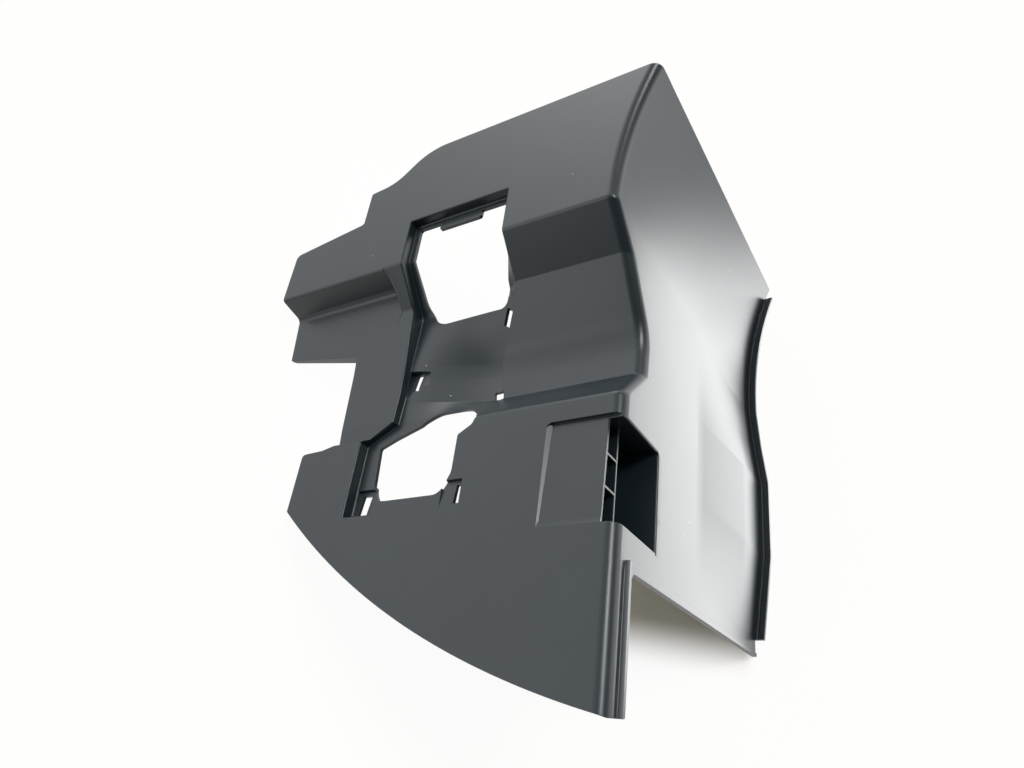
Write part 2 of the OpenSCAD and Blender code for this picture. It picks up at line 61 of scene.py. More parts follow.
def number(name, text, value, low=0.0, high=1e4):
    """A plain number that a user can change."""
    return bpy.props.FloatProperty(name=name, description=text, default=value, min=low, max=high)


def linear(hex_colour):
    """Linear red, green and blue of an sRGB colour such as 8FA0B1."""
    parts = [int(hex_colour[i:i + 2], 16) / 255 for i in (0, 2, 4)]
    return [c / 12.92 if c <= 0.04045 else ((c + 0.055) / 1.055) ** 2.4 for c in parts]


def colour(name, text, hex_colour):
    """A colour that a user can change, given as sRGB hex."""
    return bpy.props.FloatVectorProperty(
        name=name, description=text, default=linear(hex_colour), subtype="COLOR", size=3, min=0.0, max=1.0)


class PanelSizes(bpy.types.PropertyGroup):
    """Levels and steps of the face panel, measured along the ridge from the pocket's lower edge."""
    wall: length("Wall", "Thickness of the moulding", 2.6)
    ridge_r: length("Ridge radius", "Outer radius of the ridge between panel and side wall", 8)
    draft: length("Draft", "Width of a steep step, seen from the front", 0.8)
    edge_r: length("Edge radius", "Radius on the edges of the steps", 1.1)
    tail_len: length("Tail", "Length of the panel below the pocket", 95.5)
    low_step_y: length("Valley start", "Start of the slope that falls into the valley", 79)
    low_step_run: length("Valley slope", "Length of that slope", 25)
    valley_z: length("Valley depth", "Depth of the valley at its lower side", 24)
    valley_len: length("Valley floor", "Length of the valley's floor", 29)
    valley_fall: length("Valley fall", "Extra fall of the valley's floor", 2)
    valley_r: length("Valley radius", "Radius between the valley's floor and the long slope", 40)
    climb_len: length("Long slope", "Length of the slope that climbs out of the valley", 46)
    climb_z: length("Long slope's top", "Height that the long slope ends at", 3)
    high_step_run: length("Dark step", "Length of the dark upper step", 26)
    plateau_z: length("Plateau", "Height of the upper plateau", 28)
    plateau_len: length("Plateau length", "Length of the upper plateau", 113)


class OutlineSizes(bpy.types.PropertyGroup):
    """Outline of the panel, the tab and the wing, measured from the ridge."""
    left_edge: length("Tab", "Distance of the tab's left edge from the ridge", 291.5)
    cove_y: length("Cove", "Upper edge of the cove between plateau and tab", 202)
    cove_run: length("Cove run", "Length of the cove", 5)
    cove_foot_z: length("Cove foot", "Height of the tab at the foot of the cove", 6.6)
    tab_edge_z: length("Tab edge", "Height of the tab at its lower edge", 3)
    slope_left: length("Gentle slope", "Left end of the gentle slope beside the frame", 188.7)
    slope_lean: length("Lean", "How far that end leans towards the frame", 8)
    tab_top_drop: length("Tab top", "Tab's upper edge below the plateau's", 59.6)
    tab_low_y: length("Tab low", "Tab's lower edge", 160)
    notch_x: length("Notch", "Left edge between notch and wing", 220)
    notch_fall: length("Notch fall", "Fall of the notch's upper edge", 11.5)
    notch_flange: length("Notch flange", "Depth of the notch's turned-down edge", 10)
    wing_x: length("Wing", "Wing's left edge", 250.8)
    wing_top_y: length("Wing top", "Wing's upper edge", 72.3)
    bow_r: length("Bow radius", "Radius of the curved lower edge", 560)
    bow_x: length("Bow's lowest point", "Distance of that edge's turning point beyond the ridge", 115.5)
    jog_x: length("Jog", "Distance of the jog in the upper left edge from the ridge", 222.1)
    jog_fall: length("Jog fall", "Fall of that edge's soft curve", 24.8)
    tab_top_fall: length("Tab top fall", "Fall of the tab's upper edge towards the left", 10.4)


class FrameSizes(bpy.types.PropertyGroup):
    """Sunk frame with its two windows and the clip slots, measured from the ridge."""
    frame_x: length("Frame", "Frame's left wall beside the upper window", 171)
    frame_low_x: length("Frame, low", "Frame's left wall beside the lower window", 196.5)
    frame_right_x: length("Frame, right", "Frame's right wall", 85)
    edge_run: length("Edge width", "Width of the rounded edge beside the upper window", 5.4)
    edge_drop: length("Edge depth", "Depth of that edge", 5)
    fold_x: length("Fold", "Fold at the valley's left end", 103)
    frame_top_y: length("Frame top", "Frame's upper wall", 243)
    frame_low_y: length("Frame low", "Frame's lower wall", 20)
    frame_depth: length("Frame depth", "Depth of the frame below the plateau", 7.5)
    frame_low_depth: length("Lower depth", "Depth of the frame below the lower panel", 8)
    window_left_gap: length("Left strip", "Strip between frame and upper window", 4.8)
    window_top_gap: length("Top strip", "Strip above the upper window", 4)
    window_right_gap: length("Right strip", "Strip right of the upper window", 2.5)
    window_low_drop: length("Window low", "Window's lower edge below the dark step", 13.5)
    window_r: length("Window radius", "Radius of the window's lower corners", 15)
    window_tab_w: length("Window tab", "Width of the tab in the window", 36.5)
    window_tab_h: length("Tab height", "Height of that tab", 6)
    window_tab_x: length("Tab place", "Distance of that tab from the ridge", 111)
    low_window_left: length("Lower window", "Left edge of the lower window", 183.8)
    low_window_right: length("Lower, right", "Right edge of the lower window", 113.8)
    low_window_tip: length("Lower, tip", "Pointed right end of the lower window", 101.6)
    low_window_y: length("Lower, low", "Lower edge of the lower window", 27.7)
    low_window_gap: length("Dark strip", "Strip above the lower window", 5.4)
    shoulder_y: length("Shoulder", "Shoulder under the pointed end", 67.6)
    slot_w: length("Slot width", "Width of a clip slot", 4.3)
    slot_len: length("Slot length", "Length of a clip slot", 12.6)
    wide_slot_w: length("Wide slot", "Width of the wide slot", 7.8)
    wide_slot_len: length("Wide slot length", "Length of the wide slot", 15.4)
    hook_hole: length("Hook hole", "Size of the hook hole", 6.4)
    low_corner_r: length("Wide corner", "Radius of the lower window's lower left corner", 19)
    slot_gap: length("Slot gap", "Distance of the slots from the frame's wall", 7.2)
    ramp_depth: length("Ramp depth", "Depth of the ramps around the slots", 2.2)
    big_ramp_depth: length("Large ramp", "Depth of the ramp beside the frame's wall", 3.4)
    big_ramp_w: length("Large ramp's width", "Width of that ramp", 15.6)
    ramp_len: length("Ramp length", "Length of the ramps", 19)


class WallSizes(bpy.types.PropertyGroup):
    """Side wall, the flange below it and its lip."""
    side_depth: length("Depth", "Depth of the side wall below the panel", 240)
    flare_r: length("Flare radius", "Radius of the outward flare", 290)
    flare_y: length("Flare start", "Start of the flare", 200)
    flare_loss: number("Flare loss", "Share of the flare lost towards the lip", 0.08, high=1.0)
    rear_step: length("Bulge", "Outward bulge of the wall's rear zone", 7.8)
    rear_start: length("Bulge start", "Depth at which the bulge starts", 123)
    rear_end: length("Bulge end", "Depth at which it is full", 204)
    pocket_share: number("Bulge at pocket", "Share of the bulge beside the pocket", 0.95, high=1.0)
    relief_y: length("Relief", "Upper end of the bulge's full height", 123)
    relief_fade: length("Relief fade", "Length over which the bulge fades", 67)
    relief_share: number("Relief share", "Share of the bulge halfway along the fade", 0.4, high=1.0)
    side_low_y: length("Lower edge", "Wall's lower edge at the ridge", 21.5)
    side_low_rise: length("Edge rise", "Rise of that edge towards the lip", 11)
    tail_depth: length("Flange", "Depth of the narrow flange", 20)
    tail_rise: length("Flange slant", "Slant of the flange's end", 2.5)
    tail_bead_top: length("Bead top", "Upper side of the flange's bead", 10.5)
    tail_bead_low: length("Bead low", "Lower side of the flange's bead", 19.6)
    tail_bead_h: length("Bead height", "Height of that bead", 2)
    hem_h: length("Hem", "Height of the hem", 0.8)
    hem_w: length("Hem width", "Width of the hem at the flange", 5)
    hem_r: length("Hem's corner", "Radius of the corner where the bead bends into the hem", 7)
    hem_end_w: length("Hem's end", "Width of the hem at the lip", 2.6)
    lip_w: length("Lip", "Width of the lip", 7.2)
    lip_top_y: length("Lip top", "Upper end of the lip", 306)
    lip_low_y: length("Lip low", "Lower end of the lip", 1)
    bead_h: length("Lip bead", "Height of the bead on the lip", 1.1)
    bead_w: length("Bead width", "Width of that bead", 0.9)
    bead_gap: length("Bead gap", "Distance of the bead from the wall and from the band", 1.2)


class PocketSizes(bpy.types.PropertyGroup):
    """Pocket at the ridge, the pad in front of it and the shelf inside it."""
    pocket_len: length("Length", "Length of the pocket along the ridge", 63)
    pocket_depth: length("Depth", "Depth of the pocket", 52)
    pocket_reach: length("Reach", "Reach of the pocket behind the panel", 48)
    pad_edge: length("Pad edge", "Where the panel stops in front of the pocket", 10)
    pad_depth: length("Pad depth", "Depth of the pad at its upper end", 2.6)
    pad_low: length("Pad's low depth", "Depth of the pad near its lower end", 1.1)
    pad_slant: length("Pad slant", "Slant of the pad's left edge", 3)
    pad_corner_r: length("Pad corner", "Radius of the pad's upper left corner", 4)
    rim_r: length("Rim", "Radius of the pocket's rim and of its deep upper corner", 2.6)
    shelf_z: length("Shelf", "Depth of the shelf inside the pocket", 16.4)
    web_t: length("Web", "Thickness of the shelf and its webs", 1.4)
    web_y: length("Upper web", "Height of the upper web", 41.5)
    web_gap: length("Web gap", "Distance between the webs", 20)


class PlasticFinish(bpy.types.PropertyGroup):
    """Colour and surface of the moulded plastic."""
    body: colour("Plastic", "Colour of the moulding", "162025")
    bloom: colour("Bloom", "Paler patches left by handling", "202A2F")
    dust: colour("Dust", "Colour of the dust specks", "B9BDC2")
    roughness: number("Roughness", "Roughness of the satin surface", 0.33, high=1.0)
    ior: number("IOR", "Refractive index of polypropylene", 1.49, low=1.0, high=2.0)
    grain: length("Grain", "Width of one cell of the moulded grain", 0.7)
    patch: length("Patch", "Width of the patches of bloom", 60)
    speck: length("Speck", "Width of a dust speck", 1)
    speck_gap: length("Speck gap", "Distance between dust specks", 24)


class StageSettings(bpy.types.PropertyGroup):
    """Floor, lights and camera."""
    focal: number("Focal length", "Focal length of the camera in millimetres", 28.02)
    floor: colour("Floor", "Colour of the floor's paper", "EDE6D1")
    room: number("Room", "Strength of all bright parts of the room", 0.93)
    panel: number("Light panel", "Power in watts of the low light panel beside the side wall", 2.3)
    panel_w: length("Panel's width", "Width of that light panel", 290)
    panel_len: length("Panel's length", "Length of that light panel along the tray", 560)
    panel_x: length("Panel's place", "Distance of its middle from the tray's middle", 355)
    panel_y: length("Panel's place along", "How far its middle lies behind the tray's middle", 140)
    panel_lift: length("Panel's lift", "Height of the light panel above the paper", 4)
    # The paper's glow is painted light: a white emission laid over the paper that hides most of the tray's shadow.
    # Under the tray it hides nearly all of that shadow where the windows show the paper.
    glow: number("Paper's glow", "Share of plain white in the floor that the camera sees", 0.94, high=1.0)
    painted_glow_under_tray: number("Glow below", "The same share under the tray, seen through its windows", 0.975, high=1.0)


# Soft edges, in millimetres on the floor, of the paper under the tray, where the painted white glow is strongest and
# hides the tray's shadow, and of the shade in the notch, where the painted glow is left out so the real shadow shows.
BELOW_TRAY = {"left": (-225, -185), "right": (0, -20), "front": (-90, -60), "back": (300, 270)}
NOTCH_SHADE = {"left": (0, 40), "right": (190, 180), "front": (-142, -104), "back": (60, 20)}

# Bright parts of the room: azimuth and elevation in degrees, how narrow each is, and its strength.
ROOM = [
    ("rear_window", 110, 12, 20, 4.8), ("rear_wall", 135, 10, 20, 0.8), ("left_rear_wall", 160, 6, 20, 1.0),
    ("left_wall", 180, 12, 20, 1.0), ("left_lamp", 202, 20, 30, 3.0), ("rear_right_wall", 80, 10, 12, 0.6),
    ("right_window", 55, 8, 12, 2.6), ("right_wall", 30, 8, 16, 0.8), ("right_front_wall", 10, 8, 12, 2.4),
    ("ceiling", 0, 88, 4, 0.15), ("left_ceiling", 150, 35, 8, 1.6), ("ceiling_lamp", 64, 72, 150, 42.0),
    ("front_ceiling", 205, 40, 12, 0.2),
]

GROUPS = {
    "tray_panel": PanelSizes,
    "tray_outline": OutlineSizes,
    "tray_frame": FrameSizes,
    "tray_wall": WallSizes,
    "tray_pocket": PocketSizes,
}


class Sizes:
    """All lengths of the size groups as plain numbers in millimetres."""

    def __init__(self, scene):
        for key, group in GROUPS.items():
            values = getattr(scene, key)
            for name in group.__annotations__:
                unit = group.bl_rna.properties[name].unit
                setattr(self, name, getattr(values, name) / (MM if unit == "LENGTH" else 1))
        self.half = self.draft / 2
        self.valley_y = self.low_step_y + self.low_step_run
        self.valley_top_y = self.valley_y + self.valley_len
        self.valley_top_z = -self.valley_z - self.valley_fall
        self.climb_y = self.valley_top_y + self.climb_len
        self.plateau_y = self.climb_y + self.high_step_run
        self.top_y = self.plateau_y + self.plateau_len
        self.tab_top_y = self.top_y - self.tab_top_drop
        self.frame_top_z = self.plateau_z - self.frame_depth
        self.frame_mid_z = -self.frame_low_depth + 2
        self.low_wall_y = self.wing_top_y + 2
        self.high_wall_y = self.low_step_y + 9


def unit(v):
    return v / np.linalg.norm(v)


def fillet(p, q, s, r, steps):
    """The corner q between p and s as an arc of steps + 1 points, as large as its two sides allow."""
    u, v = p - q, s - q
    room = 0.48 * min(np.linalg.norm(u), np.linalg.norm(v))
    u, v = unit(u), unit(v)
    opening = math.acos(max(-1.0, min(1.0, float(u @ v)))) / 2
    reach = min(max(r / max(math.tan(opening), 1e-6), 0.05), room)
    first, last = q + u * reach, q + v * reach
    sweep = math.pi - 2 * opening
    t = np.linspace(0, 1, steps + 1)[:, None]
    if sweep < 0.02:
        return first + (last - first) * t
    centre = q + unit(u + v) * (reach / math.cos(opening))
    a, b = first - centre, last - centre
    return centre + (a * np.sin(sweep * (1 - t)) + b * np.sin(sweep * t)) / math.sin(sweep)


def rounded(points, steps, closed=False):
    """Path or outline of [a, b] or [a, b, radius] with its corners rounded."""
    p = [np.array(q[:2], float) for q in points]
    radius = [q[2] if len(q) > 2 else 0 for q in points]
    m = len(p)
    out = []
    for i in range(m):
        inner = closed or 0 < i < m - 1
        out.append(fillet(p[i - 1], p[i], p[(i + 1) % m], radius[i], steps) if inner and radius[i] else p[i][None])
    return np.concatenate(out)


def lowered(points, d):
    """The same path moved down into the material by d, with its radii following."""
    out = []
    for i, q in enumerate(points):
        here = np.array(q[:2], float)
        into = unit(here - points[i - 1][:2]) if i else unit(np.subtract(points[1][:2], q[:2]))
        leave = unit(np.subtract(points[i + 1][:2], q[:2])) if i < len(points) - 1 else into
        n0, n1 = np.array([into[1], -into[0]]), np.array([leave[1], -leave[0]])
        shift = (n0 + n1) / (1 + n0 @ n1) * d
        turn = into[0] * leave[1] - into[1] * leave[0]
        r = q[2] if len(q) > 2 else 0
        new_r = 0 if r == 0 else (max(0.4, r - d) if turn < 0 else r + d)
        out.append([*(here + shift), new_r])
    return out


def lookup(x, pairs):
    a = np.array(pairs, float)
    return float(np.interp(x, a[:, 0], a[:, 1]))


class Form:
    """Faces of the moulding in its own frame, in millimetres: X across, Y along the ridge, Z out of the panel."""

    arc = 7  # steps of a rounding along the ridge
    row_gap = 3.2  # widest gap between two sections
    margin = 15  # how far the form reaches past the outlines that trim it

    def __init__(self, s, inset):
        self.s, self.inset = s, inset
        e = s.edge_r
        lower = [[-FAR, 0], [s.wing_top_y + 3.2, 0, 0.6], [s.wing_top_y + 5.4, -3.4, 1],
                 [s.wing_top_y + 16, -2.3], [s.valley_top_y, 0], [s.tab_low_y + 2, s.tab_edge_z]]
        high = [[s.frame_top_y - s.half, s.frame_top_z, e], [s.frame_top_y + s.half, s.plateau_z, e],
                [FAR, s.plateau_z]]
        low = [[-FAR, 0], [s.frame_low_y - s.half, 0, e], [s.frame_low_y + s.half, -s.frame_low_depth, e]]
        self.right = self.path([
            [-FAR, 0], [s.low_step_y, 0, 5], [s.valley_y, -s.valley_z, 5], [s.valley_top_y, s.valley_top_z, s.valley_r],
            [s.climb_y, s.climb_z, 4], [s.plateau_y, s.plateau_z, 4], [FAR, s.plateau_z]])
        self.slope = self.path(lower + [
            [s.climb_y - 2, (s.tab_edge_z + s.cove_foot_z) / 2, 4], [s.plateau_y - 1, s.plateau_z, 4],
            [FAR, s.plateau_z]])
        self.tab = self.path(lower + [
            [s.cove_y - s.cove_run, s.cove_foot_z, 5], [s.cove_y, s.plateau_z, 3], [FAR, s.plateau_z]])
        self.left = self.path(low + [
            [s.high_wall_y, -s.frame_low_depth, 60], [s.valley_top_y, s.frame_mid_z, 90],
            [s.climb_y - 3, s.frame_mid_z - 1.5, 8], [s.plateau_y + 4, s.frame_top_z, 6]] + high)
        self.near = self.path(low + [
            [s.low_step_y + 8, -s.frame_low_depth], [s.valley_y, -s.valley_z],
            [s.valley_top_y, s.valley_top_z, s.valley_r], [s.climb_y - 8, s.climb_z - 5],
            [s.climb_y - 1, s.climb_z - s.edge_drop, 4], [s.plateau_y + 4, s.frame_top_z, 6]] + high)

    def path(self, points):
        return rounded(lowered(points, self.inset), self.arc)

    def slope_end(self, y):
        s = self.s
        return lookup(y, [[s.low_wall_y, s.frame_low_x + 10], [s.climb_y - 22, s.slope_left],
                          [s.climb_y, s.slope_left - s.slope_lean], [s.climb_y + 18, s.slope_left - 2],
                          [s.plateau_y, s.slope_left]])

    def frame_wall(self, y):
        s = self.s
        return lookup(y, [[s.low_wall_y, s.frame_low_x], [s.high_wall_y, s.frame_x + 2],
                          [s.valley_y + 6, s.frame_x]])

    def fold_run(self, y):
        s = self.s
        return lookup(y, [[s.climb_y - 10, s.draft], [s.climb_y - 1, s.edge_run], [s.climb_y + 9, s.edge_run],
                          [s.plateau_y - 4, s.draft]])

    def fold_line(self, y):
        s = self.s
        return lookup(y, [[s.frame_low_y + 13, s.frame_low_x - 23], [s.frame_low_y + 30, s.frame_low_x - 48],
                          [s.low_step_y - 9, s.fold_x + 20], [s.low_step_y, s.fold_x + 1],
                          [s.valley_y, s.fold_x - 2], [s.valley_top_y, s.fold_x + 1],
                          [s.climb_y, s.frame_right_x]])

    def ring(self, y):
        """Section of the form at y, from the left round the panel and down the side wall."""
        s, inset = self.s, self.inset
        zr, zt, zs, zl, zn = (float(np.interp(y, p[:, 0], p[:, 1]))
                              for p in (self.right, self.tab, self.slope, self.left, self.near))
        zf = min(zn, zr)
        left = -s.left_edge - 30 - (10 if inset else 0)
        base = -s.side_depth - 2 * s.wall - (10 if inset else 0)
        e = max(0.3, s.edge_r - inset)
        end, wall, fold, run = self.slope_end(y), self.frame_wall(y), self.fold_line(y), self.fold_run(y)
        top_x = wall_face(s, y, zr) - inset
        r = s.ridge_r - inset
        knots = [[left, zt, 0, 8], [-end - s.half + inset, zt, 2.5, 1], [-end + s.half + inset, zs, 4, 4],
                 [-wall - s.half - inset, zs, e, 1], [-wall + s.half - inset, zl, e, 12],
                 [-fold - run + inset, zf, e, 1], [-fold + inset, zr, e, 12], [top_x, zr, r, 1],
                 [top_x, zr - 2 * r, 0, 1]]
        out = []
        for i, (x, z, radius, _) in enumerate(knots):
            here = np.array([x, z])
            if radius and 0 < i < len(knots) - 1:
                steps = 10 if i == 7 else 5
                before, after = np.array(knots[i - 1][:2]), np.array(knots[i + 1][:2])
                out.append(fillet(before, here, after, radius, steps))
            else:
                out.append(here[None])
        points = [out[0]]
        for i in range(1, len(out)):
            a, b, n = out[i - 1][-1], out[i][0], knots[i - 1][3]
            share = np.arange(1, n) / n
            height = (share + 3 * share ** 2 * (3 - 2 * share)) / 4 if i == 5 else share
            points.append(np.stack([a[0] + (b[0] - a[0]) * share, a[1] + (b[1] - a[1]) * height], 1))
            points.append(out[i])
        depth = np.concatenate([np.linspace(zr - 2 * r, -s.rear_start, 16)[1:],
                                np.linspace(-s.rear_start, -s.rear_end, 12)[1:],
                                np.linspace(-s.rear_end, base, 6)[1:]])
        points.append(np.array([[wall_face(s, y, z) - inset, z] for z in depth]))
        points.append(np.array([[left, base]]))
        return np.concatenate(points)

    def rows(self):
        s = self.s
        first, last = -s.tail_len - self.margin, s.top_y + self.margin
        if self.inset:
            first, last = first - 10, last + 10
        marks = [first, last, 0, s.pocket_len, s.relief_y, s.relief_y + s.relief_fade, s.low_wall_y, s.high_wall_y]
        for p in (self.right, self.slope, self.tab, self.left, self.near):
            marks += [y for y in p[:, 0] if first < y < last]
        marks = sorted(marks)
        rows = [marks[0]]
        for y in marks[1:]:
            gap = y - rows[-1]
            if gap < 0.06:
                continue
            n = max(1, math.ceil(gap / self.row_gap))
            start = rows[-1]
            rows += [start + gap * k / n for k in range(1, n + 1)]
        return rows

    def solid(self, name):
        rows = self.rows()
        rings = [self.ring(y) for y in rows]
        n, m = len(rings[0]), len(rows)
        points = [(x, y, z) for y, ring in zip(rows, rings) for x, z in ring]
        faces = [list(range(n))[::-1], [(m - 1) * n + k for k in range(n)]]
        for i in range(m - 1):
            for k in range(n):
                k1 = (k + 1) % n
                faces.append([i * n + k, i * n + k1, (i + 1) * n + k1, (i + 1) * n + k])
        return solid(name, points, faces)


def wall_face(s, y, z):
    """How far the side wall's outer face lies outside the ridge line, at y along it and height z."""
    along = min(1.0, (s.plateau_z - z) / (s.plateau_z + s.side_depth))
    flare = s.flare_r - math.sqrt(s.flare_r ** 2 - (y - s.flare_y) ** 2) if y > s.flare_y else 0.0
    share = lookup(y, [[0, 0], [s.pocket_len, s.pocket_share], [s.relief_y, 1],
                       [s.relief_y + s.relief_fade / 2, s.relief_share], [s.relief_y + s.relief_fade, 0]])
    bulge = lookup(-z, [[s.rear_start, 0], [s.rear_end, 1]])
    return flare * (1 - s.flare_loss * along) + s.rear_step * share * bulge


def solid(name, points, faces):
    """A mesh object from points in millimetres, with its faces turned outwards."""
    mesh = bpy.data.meshes.new(name)
    mesh.from_pydata([tuple(map(float, p)) for p in points], [], faces)
    bm = bmesh.new()
    bm.from_mesh(mesh)
    bmesh.ops.recalc_face_normals(bm, faces=bm.faces)
    bmesh.ops.triangulate(bm, faces=[f for f in bm.faces if len(f.verts) > 4])
    bm.to_mesh(mesh)
    bm.free()
    piece = bpy.data.objects.new(name, mesh)
    bpy.context.scene.collection.objects.link(piece)
    return piece


def prism(name, outline, low, high, axes=(0, 1, 2)):
    """An outline pulled along an axis. axes says which axes its two coordinates and its pull follow."""
    n = len(outline)
    points = np.zeros((2 * n, 3))
    points[:n, axes[0]] = points[n:, axes[0]] = outline[:, 0]
    points[:n, axes[1]] = points[n:, axes[1]] = outline[:, 1]
    points[:n, axes[2]], points[n:, axes[2]] = low, high
    faces = [list(range(n)), list(range(n, 2 * n))[::-1]]
    faces += [[i, n + i, n + (i + 1) % n, (i + 1) % n] for i in range(n)]
    return solid(name, points, faces)


def box(name, low, high):
    outline = np.array([[low[0], low[1]], [high[0], low[1]], [high[0], high[1]], [low[0], high[1]]], float)
    return prism(name, outline, low[2], high[2])


def along_x(name, outline, low, high):
    return prism(name, np.array(outline, float), low, high, (1, 2, 0))


def combine(base, tool, operation):
    """Joins, cuts or intersects the base with a tool, which is used up."""
    step = base.modifiers.new(operation, "BOOLEAN")
    step.object, step.operation, step.solver = tool, operation, "MANIFOLD"
    result = bpy.data.meshes.new_from_object(base.evaluated_get(bpy.context.evaluated_depsgraph_get()))
    base.modifiers.clear()
    old, base.data = base.data, result
    bpy.data.meshes.remove(old)
    bpy.data.objects.remove(tool)
    return base


def turned(x, z, lean):
    """A point of the moulding's section turned into the rest pose."""
    return x * math.cos(lean) + z * math.sin(lean), -x * math.sin(lean) + z * math.cos(lean)


def rest_place(s):
    """The matrix that lays the moulding down as the CAD does, from millimetres to metres."""
    inside = Form(s, s.wall).tab
    foot = (-s.left_edge, float(np.interp(s.tab_low_y, inside[:, 0], inside[:, 1])))
    heel = (wall_face(s, s.flare_y, -s.side_depth) - s.wall, -s.side_depth - s.wall)
    lean = -math.atan2(foot[1] - heel[1], heel[0] - foot[0])
    lip_end = (wall_face(s, s.lip_top_y, -s.side_depth) + s.lip_w, -s.side_depth - s.wall)
    widest = turned(*lip_end, lean)[0]
    narrowest = turned(-s.left_edge, s.plateau_z, lean)[0]
    ground = turned(*foot, lean)[1]
    middle = (s.top_y - s.tail_len) / 2
    shift = Matrix.Translation((-(widest + narrowest) / 2, -middle, -ground))
    return Matrix.Scale(MM, 4) @ shift @ Matrix.Rotation(lean, 4, "Y")


def panel_outline(s):
    """Outline of the panel from the front, whose long lower edge is one arc."""
    top = math.sqrt(s.bow_r ** 2 - s.bow_x ** 2) - s.tail_len

    def bow(x):
        return [x, top - math.sqrt(s.bow_r ** 2 - (x - s.bow_x) ** 2)]

    upper = rounded([
        [FAR, s.top_y], [-s.jog_x + 53, s.top_y, 45], [-s.jog_x + 23.6, s.top_y - s.jog_fall, 35],
        [-s.jog_x, s.top_y - s.jog_fall - 2.5, 1.5], [-s.jog_x, s.tab_top_y, 2.5],
        [-s.left_edge, s.tab_top_y - s.tab_top_fall, 5], [-s.left_edge, s.tab_low_y, 1],
        [-s.notch_x, s.tab_low_y - s.notch_fall, 1.5], [-s.notch_x, s.wing_top_y + 3.6],
        [-s.notch_x - 12, s.wing_top_y + 0.8], [-s.wing_x, s.wing_top_y, 3], bow(-s.wing_x)], 10)
    lower = np.array([bow(-s.wing_x + (s.wing_x + 60) * i / 60) for i in range(1, 61)])
    return np.concatenate([upper, lower, [[FAR, lower[-1][1]]]])


def side_outline(s):
    """Outline of the side wall and the narrow flange, as y and z."""
    deep = -s.side_depth - s.wall
    return rounded([
        [FAR, FAR], [FAR, deep], [-s.side_low_y + s.side_low_rise, deep],
        [-s.side_low_y, -s.tail_depth - 2, 3], [-s.side_low_y - 3, -s.tail_depth],
        [-s.tail_len + s.tail_rise, -s.tail_depth, 1.5], [-s.tail_len, -s.wall], [-s.tail_len, FAR]], 6, closed=True)


def pad(s, inset):
    """The shallow ramp that is pressed into the panel in front of the pocket."""
    left, top = -s.pocket_reach - 1 - inset, s.pocket_len + 2 + inset
    piece = along_x("pad", [[-inset, DEEP], [-inset, -inset + 0.01], [4 - inset, -s.pad_low - inset],
                            [top, -s.pad_depth - inset], [top, DEEP]], left, inset)
    side = rounded([[left, DEEP], [left, 0], [left + s.pad_slant, -s.pad_depth - inset],
                    [left + s.pad_slant, -DEEP], [FAR, -DEEP], [FAR, DEEP]], 4, closed=True)
    combine(piece, prism("pad_side", side, -FAR, FAR, (0, 2, 1)), "INTERSECT")
    plan = rounded([[left, top, s.pad_corner_r + inset], [left, -DEEP], [FAR, -DEEP], [FAR, top]], 8, closed=True)
    return combine(piece, prism("pad_plan", plan, -DEEP, DEEP), "INTERSECT")


def ramp(s, x, width, y, level, depth, inset):
    """A ramp pressed into the panel around a slot, deep at its upper end."""
    return along_x("ramp", [
        [y - inset, level + 1], [y - inset, level - inset + 0.01],
        [y + s.ramp_len + inset, level - depth - inset], [y + s.ramp_len + depth / 2 + inset, level + 1]],
        x - inset, x + width + inset)


def pressed_in(s, inset):
    """The pad and the three ramps around the clip slots."""
    return [
        pad(s, inset),
        ramp(s, -s.frame_x + 0.6, s.big_ramp_w, s.valley_top_y - s.ramp_len - 5, -s.frame_low_depth + 1,
             s.big_ramp_depth, inset),
        ramp(s, -s.frame_low_x + 1.6, DEEP / 3, s.frame_low_y + 1.5, -s.frame_low_depth, s.ramp_depth, inset),
        ramp(s, -s.low_window_right - 5, s.slot_gap * 2, s.low_window_y - 11, 0, s.ramp_depth, inset),
    ]


def notch_edge(s):
    """Turned-down edge of the tab above the notch."""
    span = math.hypot(s.left_edge - s.notch_x, s.notch_fall)
    z = s.tab_edge_z
    piece = prism("notch_edge", np.array([[2, z - 0.8], [span - 1.5, z - 2], [span - 1.5, z - s.notch_flange],
                                          [2, z - 4]], float), -2, s.wall, (0, 2, 1))
    turn = Matrix.Rotation(-math.atan2(s.notch_fall, s.left_edge - s.notch_x), 4, "Z")
    piece.data.transform(Matrix.Translation((-s.left_edge, s.tab_low_y, 0)) @ turn)
    return piece


def tail_bead(s):
    """Bead along the narrow flange, with a round upper end."""
    end = -s.side_low_y + s.hem_w
    half = (s.tail_bead_low - s.tail_bead_top) / 2
    radius = (half ** 2 + s.tail_bead_h ** 2) / (2 * s.tail_bead_h)
    angle = np.radians(np.arange(0, 360, 4))
    section = np.stack([s.tail_bead_h - radius + radius * np.cos(angle),
                        -s.tail_bead_top - half + radius * np.sin(angle)], 1)
    bead = prism("tail_bead", section, end - s.tail_len, end, (0, 2, 1))
    plan = rounded([[-FAR, -s.tail_bead_top], [end, -s.tail_bead_top, half], [end, -s.tail_bead_low, half],
                    [-FAR, -s.tail_bead_low]], 12, closed=True)
    return combine(bead, along_x("bead_end", plan, -s.wall / 2, 3 * s.wall / 2), "INTERSECT")


def side_hem(s):
    """Thickened hem along the lower edge of the side wall, from the bead's end to the lip."""
    start, foot, deep = -s.tail_bead_top, -s.side_low_y + s.side_low_rise, -s.side_depth - 2 * s.wall
    return along_x("side_hem", rounded([
        [-s.tail_len - s.hem_w, start], [-s.side_low_y + s.hem_w, start, s.hem_r], [foot + s.hem_end_w, deep],
        [foot - 1, deep]], 6, closed=True), -s.wall / 2, s.hem_h)


